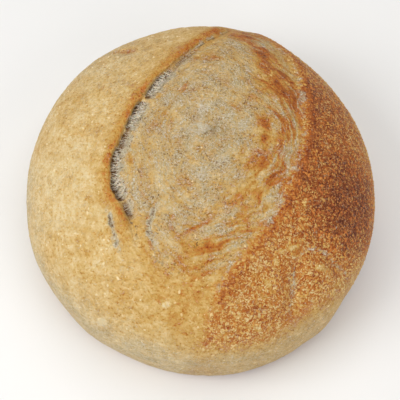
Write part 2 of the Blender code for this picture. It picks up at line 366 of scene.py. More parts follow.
def packed(values, centre, reach, extra):
    """Moves evenly spaced values from -1 to 1 so that they stand closer round a centre."""
    fine = np.linspace(-1.0, 1.0, 2001)
    density = 1.0 + extra * np.exp(-(((fine - centre) / reach) ** 2))
    share = np.cumsum(density) - density[0]
    return np.interp(values, 2.0 * share / share[-1] - 1.0, fine)


def bent(u, v, route):
    """Shifts the grid's columns sideways, so that the one they are packed round follows a route."""
    route_u, route_v = grid_place(*dome_place(route.line[:, 0], route.line[:, 1]))
    centre = COLUMN_PACKING[0]
    order = np.argsort(route_v)
    wanted = np.interp(v, route_v[order], route_u[order]) - centre
    room = np.where(u < centre, centre + 1.0, 1.0 - centre)
    return u + wanted * (1.0 - ((u - centre) / room) ** 2)


def grain(points, size, octaves=1):
    """Smooth noise from about -1 to 1 with features of a size in millimetres, one value for each row."""
    scale = 1.0 / size
    if octaves == 1:
        return np.array([noise.noise(point) for point in points * scale])
    return np.array([noise.fractal(point, 0.8, 2.0, octaves) for point in points * scale])


def column(values, seed):
    """Noise coordinates for a single number: the number, and a seed that sets the rest apart."""
    return np.column_stack([values, np.full_like(values, seed), np.zeros_like(values)])


class Score:
    """The long cut: each point's distance from it, how far it gapes, and how it moves the crust."""

    def __init__(self, points, normals):
        self.route = Route(SCORE_ROUTE)
        self.distance, self.run, self.across, past = self.route.follow(points, normals)
        bites = sum(size * grain(column(self.run, 3.0 * size), length) for length, size in LIP_BITES)
        self.gape = self.gape_at(self.run) * self.route.fade(self.run, past, 1.0)
        self.ragged = self.distance - bites * (0.25 + 0.75 * self.gape)
        self.shown = self.route.fade(self.run, past, SCORE_FADE)

    def gape_at(self, run):
        y = self.route.at(run)[:, 1]
        gape = np.zeros_like(y)
        for middle, half_length, share in TEARS:
            inside = np.clip(1.0 - ((y - middle) / half_length) ** 2, 0.0, 1.0)
            gape = np.maximum(gape, share * inside**TEAR_TAPER)
        return gape

    def moves(self):
        """Push across and lift of each point."""
        found = []
        for section in (OPEN_SECTION, SHUT_SECTION):
            rest, place, lift = rounded(section, 8).T
            rest = np.maximum.accumulate(rest)
            inside = (self.ragged > rest[0]) & (self.ragged < rest[-1])
            push = np.where(inside, np.interp(self.ragged, rest, place) - self.ragged, 0.0)
            found.append((push, np.interp(self.ragged, rest, lift)))
        (open_push, open_lift), (shut_push, shut_lift) = found
        push = shut_push * self.shown * (1.0 - self.gape) + open_push * self.gape
        lift = shut_lift * self.shown * (1.0 - self.gape) + open_lift * self.gape
        return self.across * push[:, None], lift


def plan_reach(points, centre):
    return np.hypot(points[:, 0] - centre[0], points[:, 1] - centre[1])


def swirl_coordinates(points):
    """Coordinates that run round the swollen middle and outwards from it, for streaks that circle it."""
    x = (points[:, 0] - BLOOM_CENTRE[0]) / 0.92
    y = (points[:, 1] - BLOOM_CENTRE[1]) / 1.12
    wander = 8.0 * grain(points + 40.0, 26.0) + 2.0 * grain(points, 8.0)
    ring = np.hypot(x, y) + wander
    angle = np.arctan2(y, x)
    return np.column_stack([np.cos(angle), np.sin(angle), ring])


def oval(points, x, y, half_length, half_width, degrees):
    """1 at the middle of an oval, falling to 0 at its edge."""
    turn = math.radians(degrees)
    along = (points[:, 0] - x) * math.cos(turn) + (points[:, 1] - y) * math.sin(turn)
    aside = (points[:, 1] - y) * math.cos(turn) - (points[:, 0] - x) * math.sin(turn)
    return 1.0 - smoothstep(0.35, 1.0, np.hypot(along / half_length, aside / half_width))


class Crust:
    """The crust's points, and what the oven, the flour and the tearing did at each of them."""

    def __init__(self, flat, sizes):
        u = packed(flat[:, 0], *COLUMN_PACKING)
        v = packed(flat[:, 1], *ROW_PACKING)
        place = dome_of_grid(bent(u, v, Route(SCORE_ROUTE)), v)
        self.rest = dome_point(*place)
        self.normals = dome_normal(*place)
        self.score = Score(self.rest, self.normals)
        seam = Route(SEAM_ROUTE)
        self.seam, run, _, past = seam.follow(self.rest, self.normals)
        self.seam_shown = seam.fade(run, past, 20.0)
        self.bloom = smoothstep(3.0, 10.0, self.score.distance)
        self.bloom *= 1.0 - smoothstep(-5.0, 3.0, self.seam + 4.0 * grain(self.rest, 9.0, 3))
        self.bloom *= smoothstep(18.0, 62.0, self.rest[:, 2]) * smoothstep(-92.0, -58.0, self.rest[:, 1])
        self.swirl = swirl_coordinates(self.rest)
        self.edge_band = np.exp(-(((self.seam + 13.0) / 10.0) ** 2)) * self.seam_shown
        self.ridge = np.exp(-(((self.seam - 4.0) / 3.6) ** 2)) * self.seam_shown
        self.folds = self.fold_marks()
        self.bubbles = np.max([oval(self.rest, *bubble) for bubble in BUBBLES], axis=0)
        self.points = self.shaped(sizes)
        self.bake, self.flour = self.finish_maps()

    def fold_marks(self):
        marks = {}
        for name, (knots, depth, width) in FOLDS.items():
            route = Route(knots)
            distance, run, _, past = route.follow(self.rest, self.normals)
            marks[name] = (distance, np.exp(-((distance / width) ** 2)) * route.fade(run, past, 9.0), depth)
        return marks

    def streaks(self, width, length_turns):
        """Ridged noise in long streaks round the middle, from about -1 to 1."""
        ring = self.swirl * [length_turns, length_turns, 1.0 / width]
        return 1.0 - 2.4 * np.abs(np.array([noise.noise(place) for place in ring]))

    def shaped(self, sizes):
        push, lift = self.score.moves()
        from_centre = plan_reach(self.rest, BLOOM_CENTRE) / BLOOM_RADIUS
        lift = lift + BLOOM_SWELL * (1.0 - smoothstep(0.3, 1.0, from_centre))
        lift += KNOB_SWELL * (1.0 - smoothstep(0.2, 1.0, plan_reach(self.rest, KNOB_CENTRE) / KNOB_RADIUS))
        step = self.seam / SEAM_WIDTH
        lift += 2.0 * SEAM_STEP * step * np.exp(-(step**2)) * self.seam_shown
        lift += UNEVEN_HEIGHT * grain(self.rest * MM, UNEVEN_SIZE * MM)
        for _, mark, depth in self.folds.values():
            lift -= depth * mark
        streak_relief = sizes.streak_relief / MM
        outer = smoothstep(12.0, 45.0, self.swirl[:, 2])
        streaks = 0.7 * self.streaks(5.5, 2.2) + 0.6 * self.streaks(2.4, 4.5)
        lift += streak_relief * self.bloom * outer * streaks
        lift += sizes.skin_relief / MM * grain(self.rest, 4.5, 3)
        lift += 0.5 * self.bubbles
        foot = smoothstep(0.0, FOOT_FADE, self.rest[:, 2])[:, None]
        return self.rest + foot * (push + self.normals * lift[:, None])

    def shade_areas(self, bake, flour):
        """Bake and flour with the crust's broad areas and the browning along the seam added."""
        wander = np.column_stack([grain(self.rest + shift, 22.0) for shift in (0.0, 50.0, 90.0)])
        wander = self.rest + AREA_WANDER * wander
        for x, y, reach, more_bake, more_flour in AREAS.values():
            near = np.exp(-((plan_reach(wander, (x, y)) / reach) ** 2))
            bake = bake + more_bake * near
            flour = flour + more_flour * near

        inset, width, more_bake, more_flour = SEAM_BROWNING
        browned = np.exp(-(((self.seam - inset) / width) ** 2)) * self.bloom
        browned = browned * (0.5 + grain(self.rest + 15.0, 20.0)).clip(0.0, 1.0)
        return bake + more_bake * browned, flour + more_flour * browned

    def finish_maps(self):
        """How dark the crust is baked, with painted shade down some folds, and how much flour it keeps, with a painted
        highlight along the lip's edge, each from 0 to 1.
        """
        right = smoothstep(-5.0, 6.0, self.seam)
        left = 1.0 - smoothstep(-3.0, 3.0, self.score.distance)
        middle = (1.0 - left - right).clip(0.0, 1.0)
        bake = LEFT_BAKE * left + RIGHT_BAKE * right + MIDDLE_BAKE * middle
        bake = bake + 0.10 * self.bloom * grain(self.rest + 30.0, 15.0, 2)
        bake = bake + 0.05 * left * grain(self.rest, 20.0, 2)
        clouds = grain(self.rest + 60.0, 13.0, 2)
        flour = 0.08 * left + 0.5 * self.bloom + (0.3 * self.bloom + 0.2 * left) * clouds
        bake, flour = self.shade_areas(bake, flour)

        from_edge = self.score.ragged + 2.0
        lip = np.exp(-((from_edge / np.where(from_edge > 0.0, 1.6, 3.6)) ** 2))
        lip = lip * np.maximum(self.score.shown, self.score.gape)
        glow = np.exp(-(((self.score.ragged + 8.0) / 9.0) ** 2)) * self.score.shown
        bake = bake + 0.23 * lip + 0.05 * glow
        flour = flour * (1.0 - 0.8 * lip)
        bake = bake + 0.09 * self.edge_band
        flour = flour - 0.12 * self.edge_band
        bake = bake + 0.05 * self.ridge

        broken = smoothstep(-0.25, 0.35, grain(self.rest + 20.0, 3.5, 2))
        wobble = 1.3 * grain(self.rest + 70.0, 5.0, 2)
        flour = flour + 0.9 * broken * np.exp(-(((self.seam + 0.5 + wobble) / 1.2) ** 2)) * self.seam_shown
        # A pale broken line along the open lip's edge, added to the flour: flour on the torn edge, with a painted
        # highlight on it
        rim = np.exp(-(((self.score.ragged + 0.5) / 0.7) ** 2)) * self.score.gape
        flour = flour + 0.7 * rim * broken
        # Painted shade: darker lines down some folds, added to the bake, with their flour cleared
        for name, (aside, depth, width) in SHADED_SLITS.items():
            distance, mark, _ = self.folds[name]
            line = np.exp(-(((distance - aside) / width) ** 2)) * smoothstep(0.0, 0.4, mark)
            bake = bake + depth * line
            flour = flour * (1.0 - 0.7 * line)
        for name, (distance, mark, _) in self.folds.items():
            line = np.exp(-(((distance - 1.0 + wobble) / 1.4) ** 2)) * smoothstep(0.0, 0.3, mark)
            flour = flour + FOLD_FLOUR[name] * line * (0.3 + broken)
        bake = bake - 0.42 * self.bubbles

        low = 1.0 - smoothstep(48.0, 80.0, self.rest[:, 2] + 8.0 * grain(self.rest + 90.0, 30.0))
        low = low * (1.0 - 0.85 * np.exp(-((plan_reach(self.rest, ROASTED_SIDE) / 62.0) ** 2)))
        bake = bake * (1.0 - 0.65 * low) + 0.07 * low
        flour = flour + LOW_WALL_FLOUR * low
        foot = 1.0 - smoothstep(2.0, 12.0, self.rest[:, 2] + 3.0 * grain(self.rest + 25.0, 9.0))
        bake = bake + 0.4 * foot
        flour = flour - 0.5 * foot
        return bake.clip(0.0, 1.0), flour.clip(0.0, 1.0)

    def marks(self):
        """The values that the crust's material and its blisters read from the mesh."""
        distance, gape = self.score.ragged, self.score.gape
        far = distance + 2.5 * grain(self.rest + 15.0, 5.0, 2)
        below_lip = smoothstep(0.2, 1.6, distance)
        wall = smoothstep(0.0, 0.5, gape) * below_lip * (1.0 - smoothstep(4.5, 10.5, far))
        crumbled = smoothstep(-0.2, 0.3, grain(self.rest + 35.0, 3.0, 2))
        shut = (1.0 - gape) * self.score.shown * np.exp(-(((distance - 1.5) / 2.8) ** 2)) * crumbled * 0.8
        # Painted shade: the pit mask darkens the bottom of the open score under its lip, and a line down the middle of
        # the torn creases
        pit_shade = smoothstep(0.4, 1.4, distance) * (1.0 - smoothstep(2.6, 5.5, distance))
        for name in ("left_crease", "front_crease"):
            aside, mark, _ = self.folds[name]
            ragged_aside = aside + 0.5 * (far - distance)
            torn_line = np.exp(-(((ragged_aside - 0.8) / 3.2) ** 2)) * mark * (0.5 + 0.8 * crumbled)
            shut = np.maximum(shut, 1.1 * torn_line)
            pit_shade = np.maximum(pit_shade, 0.75 * np.exp(-((ragged_aside / 1.0) ** 2)) * mark * crumbled)
        roasted = smoothstep(0.38, 0.62, self.bake) * (1.0 - 0.85 * self.bloom)
        by_score = np.exp(-((distance / 12.0) ** 2)) * self.score.shown
        roasted = roasted * (1.0 - self.bubbles) * (1.0 - 0.6 * self.ridge) * (1.0 - 0.8 * by_score)
        high = smoothstep(22.0, 45.0, self.rest[:, 2])
        blistered = (0.12 + 0.88 * roasted) * (1.0 - 0.9 * self.flour) * (1.0 - 0.8 * self.bloom) * high
        return {
            "bake": self.bake,
            "flour": self.flour,
            "bloom": self.bloom,
            "torn": np.maximum(wall, shut),
            "pit_shade": pit_shade,
            "roasted": roasted,
            "edge_band": self.edge_band,
            "blistered": blistered * (1.0 - wall) * smoothstep(4.0, 9.0, np.abs(distance)),
            "swirl": self.swirl,
            "along_score": np.column_stack([self.score.run, distance, np.zeros_like(distance)]),
        }


def fitted(points):
    """The crust's points in metres, with its box just inside the solid loaf's and its base on the same plane."""
    low, high = points.min(axis=0), points.max(axis=0)
    share = (points - low) / (high - low)
    inset = np.array(BOX_INSET) * MM
    start = np.array(LOW) + inset * (1, 1, 0)
    return start + share * (np.array(HIGH) - inset - start)


def add_marks(mesh, marks):
    for name, values in marks.items():
        vector = values.ndim == 2
        mark = mesh.attributes.new(name, "FLOAT_VECTOR" if vector else "FLOAT", "POINT")
        mark.data.foreach_set("vector" if vector else "value", values.astype(np.float32).ravel())


def new_piece(name, mesh, material):
    """Links a finished piece to the scene, riding on the loaf and taking its finish."""
    piece = bpy.data.objects.new(name, mesh)
    bpy.context.scene.collection.objects.link(piece)
    if material.name not in [slot.name for slot in mesh.materials if slot]:
        mesh.materials.append(material)
    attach(piece, "root")
    return piece


def add_node(tree, kind, *inputs, named=(), result=0, **settings):
    """Adds a node with its settings, fills its inputs with values or links, and returns one of its outputs."""
    node = tree.nodes.new(kind)
    for name, value in settings.items():
        setattr(node, name, value)
    for key, source in [*enumerate(inputs), *dict(named).items()]:
        if isinstance(source, bpy.types.NodeSocket):
            tree.links.new(source, node.inputs[key])
        else:
            node.inputs[key].default_value = source
    return node.outputs[result]


def new_material(name):
    """A new material with a way to add its nodes, and its shader."""
    material = bpy.data.materials.new(name)
    material.use_nodes = True
    return material, partial(add_node, material.node_tree), material.node_tree.nodes["Principled BSDF"]


def opaque(colour):
    return (*colour, 1.0)


def varied(node, start, parts):
    """A value that patterns vary: each adds its strength where it is light and takes it away where it is dark."""
    for pattern, strength, mask in parts:
        swing = node("ShaderNodeMath", pattern, SWING * strength, -SWING * strength / 2, operation="MULTIPLY_ADD")
        if mask is not None:
            swing = node("ShaderNodeMath", swing, mask, operation="MULTIPLY")
        start = node("ShaderNodeMath", start, swing, operation="ADD")
    return start


def baked_tone(node, level, colours):
    """The crust's colour for how far it is baked, from 0 to 1."""
    tone = node("ShaderNodeValToRGB", level)
    elements = tone.node.color_ramp.elements
    while len(elements) < len(BAKE_STEPS):
        elements.new(0.5)
    for element, (position, name) in zip(elements, BAKE_STEPS):
        element.position = position
        element.color = opaque(getattr(colours, name))
    return tone


def baked_crust(colours):
    """Baked wheat crust: a dry, matt skin, browned where the heat was strongest, with toasted flour on it.
    Fine fibres and flecks break up every colour, painted shade darkens its pores, fine hollows and torn score, and
    flour dulls what little shine the skin has."""
    material, node, shader = new_material("baked_wheat_crust")
    place = node("ShaderNodeTexCoord", result="Object")
    mark = {
        name: node("ShaderNodeAttribute", attribute_name=name, result="Fac")
        for name in ("bake", "flour", "bloom", "torn", "pit_shade", "roasted", "edge_band")
    }
    swirl = node("ShaderNodeAttribute", attribute_name="swirl", result="Vector")
    along = node("ShaderNodeAttribute", attribute_name="along_score", result="Vector")
    pattern = {
        name: node(
            "ShaderNodeTexNoise", result="Fac",
            named={"Vector": place, "Scale": 1 / (size * MM), "Detail": detail, "Roughness": 0.6, "Distortion": bend},
        )
        for name, (size, detail, bend) in SKIN_PATTERNS.items()
    }
    for name, (source, stretch, detail) in {
        "streak": (swirl, (2.4, 2.4, 1 / 4.0), 3.0),
        "thread": (swirl, (11.0, 11.0, 1 / 1.15), 3.0),
        "comb": (along, (1 / 0.75, 0.13, 1.0), 2.0),
    }.items():
        stretched = node("ShaderNodeVectorMath", source, stretch, operation="MULTIPLY")
        pattern[name] = node(
            "ShaderNodeTexNoise", result="Fac",
            named={"Vector": stretched, "Scale": 1.0, "Detail": detail, "Roughness": 0.6},
        )

    streaked = node("ShaderNodeMath", mark["edge_band"], 0.9, 0.45, operation="MULTIPLY_ADD")
    streaked = node("ShaderNodeMath", streaked, mark["bloom"], operation="MULTIPLY")
    flecks = node("ShaderNodeMapRange", pattern["fleck"], 0.52, 0.61)
    flecks = node("ShaderNodeMath", flecks, mark["roasted"], operation="MULTIPLY")
    level = varied(node, mark["bake"], [
        (pattern["mottle"], 0.10, None), (pattern["grain"], 0.10, None), (pattern["fine"], 0.12, None),
        (pattern["fibre"], 0.08, None), (pattern["streak"], 0.2, streaked), (pattern["thread"], 0.07, None),
    ])
    level = node("ShaderNodeMath", flecks, -0.45, level, operation="MULTIPLY_ADD")
    tone = baked_tone(node, level, colours)

    dust = varied(node, mark["flour"], [
        (pattern["mottle"], 0.14, None), (pattern["fine"], 0.26, None), (pattern["fibre"], 0.16, None),
        (pattern["streak"], -0.5, streaked), (pattern["thread"], 0.24, mark["bloom"]),
    ])
    dust = node("ShaderNodeMapRange", dust, 0.2, 0.95, 0.0, 0.88)
    flour_light = node("ShaderNodeMath", node("ShaderNodeMapRange", pattern["fibre"], 0.46, 0.64, 0.0, 0.8),
                       node("ShaderNodeMapRange", mark["flour"], 0.75, 1.0), operation="MAXIMUM")
    flour_tone = node("ShaderNodeMix", result="Result", data_type="RGBA", named={
        "Factor": flour_light, "A": opaque(colours.flour), "B": opaque(colours.fresh_flour),
    })
    floured = node("ShaderNodeMix", result="Result", data_type="RGBA", named={
        "Factor": dust, "A": tone, "B": flour_tone,
    })

    wander = node("ShaderNodeVectorMath", node("ShaderNodeTexNoise", result="Color", named={
        "Vector": place, "Scale": 1 / (7.0 * MM), "Detail": 3.0,
    }), (6.0 * MM, 6.0 * MM, 6.0 * MM), place, operation="MULTIPLY_ADD")
    hair = node("ShaderNodeTexVoronoi", result="Distance", feature="DISTANCE_TO_EDGE", named={
        "Vector": wander, "Scale": 1 / (13.0 * MM),
    })
    hair = node("ShaderNodeMapRange", hair, 0.005, 0.03, 1.0, 0.0)
    hair = node("ShaderNodeMath", hair, node("ShaderNodeMapRange", pattern["grain"], 0.52, 0.62), operation="MULTIPLY")
    hair = node("ShaderNodeMath", hair, mark["roasted"], operation="MULTIPLY")
    lined = node("ShaderNodeMix", result="Result", data_type="RGBA", named={
        "Factor": node("ShaderNodeMath", node("ShaderNodeMath", hair, 0.5, operation="MULTIPLY"),
                       node("ShaderNodeMath", flecks, 0.1, operation="MULTIPLY"), operation="MAXIMUM"),
        "A": floured,
        "B": opaque(colours.pale),
    })

    # Painted shade: the torn crumb turns to the shade colour where the pit mask marks the bottom of the score
    combed = varied(node, mark["pit_shade"], [(pattern["comb"], -0.3, None), (pattern["fibre"], -0.15, None)])
    # Painted shade: dark dots in the torn crumb, for the shadow in its holes
    crumb_hole_shade = node("ShaderNodeMapRange", pattern["hole"], 0.6, 0.66, 0.0, 0.8)
    torn_tone = node("ShaderNodeMix", result="Result", data_type="RGBA", clamp_factor=True, named={
        "Factor": node("ShaderNodeMath", combed, crumb_hole_shade, operation="ADD"),
        "A": opaque(colours.crumb), "B": opaque(colours.painted_shade),
    })
    torn_share = varied(node, mark["torn"], [(pattern["fine"], 0.2, None), (pattern["comb"], 0.15, None)])
    torn_share = node("ShaderNodeMapRange", torn_share, 0.2, 0.75)
    coloured = node("ShaderNodeMix", result="Result", data_type="RGBA", named={
        "Factor": torn_share, "A": lined, "B": torn_tone,
    })

    rough = node("ShaderNodeMath", node("ShaderNodeMath", mark["bloom"], mark["roasted"], operation="MAXIMUM"),
                 0.1, 0.9, operation="MULTIPLY_ADD")
    # Painted shade: the gamma below darkens the colour where the fibre, fine and thread patterns sink in the bump
    # relief, mostly on the rough bloom and roasted skin
    depth = varied(node, 1.0, [
        (pattern["fibre"], -0.32, rough), (pattern["fine"], -0.18, rough), (pattern["thread"], -0.15, mark["bloom"]),
    ])
    # Painted shade: sparse dark dots in clusters on the bloom, for the shadow in its small holes
    clusters = node("ShaderNodeMath", mark["bloom"], node("ShaderNodeMapRange", pattern["mottle"], 0.46, 0.6),
                    operation="MULTIPLY")
    speck_shade = node("ShaderNodeMath", node("ShaderNodeMapRange", pattern["hole"], 0.6, 0.66), clusters,
                  operation="MULTIPLY")
    speck_shaded = node("ShaderNodeMix", result="Result", data_type="RGBA", named={
        "Factor": node("ShaderNodeMath", speck_shade, 0.8, operation="MULTIPLY"),
        "A": coloured, "B": opaque(colours.painted_shade),
    })
    # Painted shade: the pores darken the colour where the bump sinks
    pore_shade = node("ShaderNodeMapRange", pattern["pore"], 0.30, 0.40, 0.7, 0.0)
    pore_shade = node("ShaderNodeMath", pore_shade, rough, operation="MULTIPLY")
    depth = node("ShaderNodeMath", depth, pore_shade, operation="ADD")
    final = node("ShaderNodeGamma", speck_shaded, depth)
    tree = material.node_tree
    tree.links.new(final, shader.inputs["Base Color"])

    shine = varied(node, node("ShaderNodeMapRange", dust, 0.0, 0.7, 0.52, 0.9), [(pattern["fine"], 0.08, None)])
    tree.links.new(shine, shader.inputs["Roughness"])

    relief = varied(node, 0.0, [
        (pattern["fine"], 0.22, rough), (pattern["fibre"], 0.22, rough), (pattern["pore"], 0.14, rough),
        (pattern["thread"], 0.3, mark["bloom"]), (pattern["comb"], 0.5, mark["torn"]),
    ])
    relief = node("ShaderNodeMath", flecks, 0.16, relief, operation="MULTIPLY_ADD")
    bump = node("ShaderNodeBump", result="Normal", named={"Strength": 1.0, "Distance": MM, "Height": relief})
    tree.links.new(bump, shader.inputs["Normal"])
    shader.inputs["Specular IOR Level"].default_value = 0.3
    shader.inputs["Subsurface Weight"].default_value = 0.05
    shader.inputs["Subsurface Scale"].default_value = 1.5 * MM
    return material


def torn_crumb(colours):
    """Stretched gluten strands: pale, dry and dull, here and there toasted a little."""
    material, node, shader = new_material("torn_crumb_strand")
    place = node("ShaderNodeTexCoord", result="Object")
    worn = node("ShaderNodeTexNoise", result="Fac", named={
        "Vector": place, "Scale": 1 / (1.6 * MM), "Detail": 2.0,
    })
    tone = node("ShaderNodeMix", result="Result", data_type="RGBA", named={
        "Factor": node("ShaderNodeMapRange", worn, 0.4, 0.75, 0.0, 0.7),
        "A": opaque(colours.strand), "B": opaque(colours.gold),
    })
    material.node_tree.links.new(tone, shader.inputs["Base Color"])
    shader.inputs["Roughness"].default_value = 0.7
    shader.inputs["Subsurface Weight"].default_value = 0.1
    shader.inputs["Subsurface Scale"].default_value = 1.0 * MM
    return material


def blister_skin(colours):
    """Thin blistered skin: glassier and paler than the crust round it, as steam lifted it early."""
    material, node, shader = new_material("blistered_crust_skin")
    bake = node("ShaderNodeAttribute", attribute_name="bake", result="Fac")
    chance = node("ShaderNodeAttribute", attribute_name="tone", result="Fac")
    paler = node("ShaderNodeMapRange", chance, 0.0, 1.0, 0.34, 0.10)
    tone = baked_tone(node, node("ShaderNodeMath", bake, paler, operation="SUBTRACT"), colours)
    material.node_tree.links.new(tone, shader.inputs["Base Color"])
    shader.inputs["Roughness"].default_value = 0.45
    return material


def new_tree(name, inputs):
    """A Geometry Nodes tree with a Geometry input and output and further named inputs."""
    tree = bpy.data.node_groups.new(name, "GeometryNodeTree")
    tree.interface.new_socket("Geometry", in_out="INPUT", socket_type="NodeSocketGeometry")
    for socket_name, kind in inputs.items():
        tree.interface.new_socket(socket_name, in_out="INPUT", socket_type=kind)
    tree.interface.new_socket("Geometry", in_out="OUTPUT", socket_type="NodeSocketGeometry")
    return tree, partial(add_node, tree), tree.nodes.new("NodeGroupInput").outputs


def grown_mesh(name, source, tree, values):
    """Runs a tree on a copy of a source mesh and returns the result as a plain mesh."""
    holder = bpy.data.objects.new(name + "_grower", source)
    bpy.context.scene.collection.objects.link(holder)
    grower = holder.modifiers.new(name, "NODES")
    grower.node_group = tree
    for item in tree.interface.items_tree:
        if item.in_out == "INPUT" and item.name in values:
            grower[item.identifier] = values[item.name]
    bpy.context.view_layer.update()
    mesh = bpy.data.meshes.new_from_object(holder.evaluated_get(bpy.context.evaluated_depsgraph_get()))
    mesh.name = name
    bpy.data.objects.remove(holder)
    return mesh


def random_number(node, low, high, seed):
    return node(
        "FunctionNodeRandomValue", result="Value", data_type="FLOAT", named={"Min": low, "Max": high, "Seed": seed}
    )


def blister_tree():
    """Scatters flattened domes over the crust where it is marked as blistered."""
    tree, node, given = new_tree("crust_blisters", {
        "Density": "NodeSocketFloat", "Size": "NodeSocketFloat", "Material": "NodeSocketMaterial",
    })
    marked = node(
        "GeometryNodeInputNamedAttribute", result="Attribute", data_type="FLOAT", named={"Name": "blistered"}
    )
    spread = node("GeometryNodeDistributePointsOnFaces", named={
        "Mesh": given["Geometry"], "Seed": 7,
        "Density": node("ShaderNodeMath", marked, given["Density"], operation="MULTIPLY"),
    }).node.outputs
    ball = node("GeometryNodeMeshUVSphere", named={"Segments": 7, "Rings": 4, "Radius": 0.5})
    common = node("ShaderNodeMath", random_number(node, 0.0, 1.0, 11), 2.6, operation="POWER")
    width = node("ShaderNodeMath", common, 1.2, 0.5, operation="MULTIPLY_ADD")
    width = node("ShaderNodeMath", width, given["Size"], operation="MULTIPLY")
    scale = node(
        "ShaderNodeCombineXYZ", node("ShaderNodeMath", width, random_number(node, 0.9, 2.0, 12), operation="MULTIPLY"),
        width, node("ShaderNodeMath", width, 0.5, operation="MULTIPLY"),
    )
    spin = node("FunctionNodeAxisAngleToRotation", (0.0, 0.0, 1.0), random_number(node, 0.0, math.tau, 13))
    turn = node("FunctionNodeRotateRotation", spread["Rotation"], spin, rotation_space="LOCAL")
    placed = node("GeometryNodeInstanceOnPoints", named={
        "Points": spread["Points"], "Instance": ball, "Rotation": turn, "Scale": scale,
    })
    toned = node("GeometryNodeStoreNamedAttribute", data_type="FLOAT", domain="INSTANCE", named={
        "Geometry": placed, "Name": "tone", "Value": random_number(node, 0.0, 1.0, 14),
    })
    real = node("GeometryNodeRealizeInstances", toned)
    finished = node("GeometryNodeSetMaterial", named={"Geometry": real, "Material": given["Material"]})
    tree.links.new(finished, tree.nodes.new("NodeGroupOutput").inputs[0])
    return tree


def strand_guide(crust):
    """One line along the torn wall, whose points know how far the score gapes and the way across it."""
    route = crust.score.route
    run = np.arange(4.0, route.length - 4.0, 1.0)
    gape = crust.score.gape_at(run)
    centre = route.at(run)
    normals = dome_normal(*dome_place(centre[:, 0], centre[:, 1]))
    across = np.cross(normals, np.gradient(centre, axis=0))
    across /= np.linalg.norm(across, axis=1, keepdims=True)
    tops = centre + across * STRAND_ROOT - normals * (STRAND_DROP * gape)[:, None]
    mesh = bpy.data.meshes.new("score_line")
    mesh.from_pydata((tops * MM).tolist(), [(place, place + 1) for place in range(len(run) - 1)], [])
    add_marks(mesh, {"gape": gape, "way": STRAND_RISE * normals - across, "wall": -across - WALL_SLOPE * normals})
    return mesh


def strand_tree():
    """Hangs thin tapering strands along a line, each leaning its own way across the gap."""
    tree, node, given = new_tree("torn_strands", {
        "Spacing": "NodeSocketFloat", "Length": "NodeSocketFloat", "Radius": "NodeSocketFloat",
        "Material": "NodeSocketMaterial",
    })
    gape = node("GeometryNodeInputNamedAttribute", result="Attribute", data_type="FLOAT", named={"Name": "gape"})
    way, wall = (
        node("GeometryNodeInputNamedAttribute", result="Attribute", data_type="FLOAT_VECTOR", named={"Name": name})
        for name in ("way", "wall")
    )
    line = node("GeometryNodeMeshToCurve", given["Geometry"])
    stations = node("GeometryNodeCurveToPoints", mode="LENGTH", named={"Curve": line, "Length": given["Spacing"]})
    slide = node("ShaderNodeVectorMath", operation="SCALE", named={
        0: wall, "Scale": random_number(node, -2.0 * MM, 4.2 * MM, 21),
    })
    strewn = node("GeometryNodeSetPosition", named={"Geometry": stations, "Offset": slide})
    bow = node("GeometryNodeCurveQuadraticBezier", 7, (0.0, 0.0, 0.0), (0.18, 0.0, 0.5), (0.0, 0.0, 1.0))
    thinned = node(
        "ShaderNodeMath", node("GeometryNodeSplineParameter", result="Factor"), -0.75, 1.0, operation="MULTIPLY_ADD"
    )
    thickness = node("ShaderNodeMath", given["Radius"], given["Length"], operation="DIVIDE")
    ring = node("GeometryNodeCurvePrimitiveCircle", named={"Resolution": 5, "Radius": 1.0})
    sized = node("GeometryNodeTransform", named={
        "Geometry": ring, "Scale": node("ShaderNodeCombineXYZ", thickness, thickness, thickness),
    })
    strand = node("GeometryNodeCurveToMesh", named={
        "Curve": bow, "Profile Curve": sized, "Scale": thinned, "Fill Caps": True,
    })
    lean = [random_number(node, low, high, seed) for low, high, seed in STRAND_LEAN]
    pointing = node("ShaderNodeVectorMath", way, node("ShaderNodeCombineXYZ", *lean), operation="ADD")
    turned = node("FunctionNodeAlignRotationToVector", axis="Z", named={"Vector": pointing})
    spin = node("FunctionNodeAxisAngleToRotation", (0.0, 0.0, 1.0), random_number(node, 0.0, math.tau, 23))
    rolled = node("FunctionNodeRotateRotation", turned, spin, rotation_space="LOCAL")
    reach = node("ShaderNodeMath", random_number(node, 0.3, 1.0, 24), given["Length"], operation="MULTIPLY")
    reach = node("ShaderNodeMath", reach, gape, operation="MULTIPLY")
    kept = node("FunctionNodeCompare", gape, 0.1, data_type="FLOAT", operation="GREATER_THAN")
    placed = node("GeometryNodeInstanceOnPoints", named={
        "Points": strewn, "Selection": kept, "Instance": strand, "Rotation": rolled, "Scale": reach,
    })
    real = node("GeometryNodeRealizeInstances", placed)
    finished = node("GeometryNodeSetMaterial", named={"Geometry": real, "Material": given["Material"]})
    tree.links.new(finished, tree.nodes.new("NodeGroupOutput").inputs[0])
    return tree


class BuiltCrust:
    """The crust that was built last, for the operators that grow things on it."""

    made = None


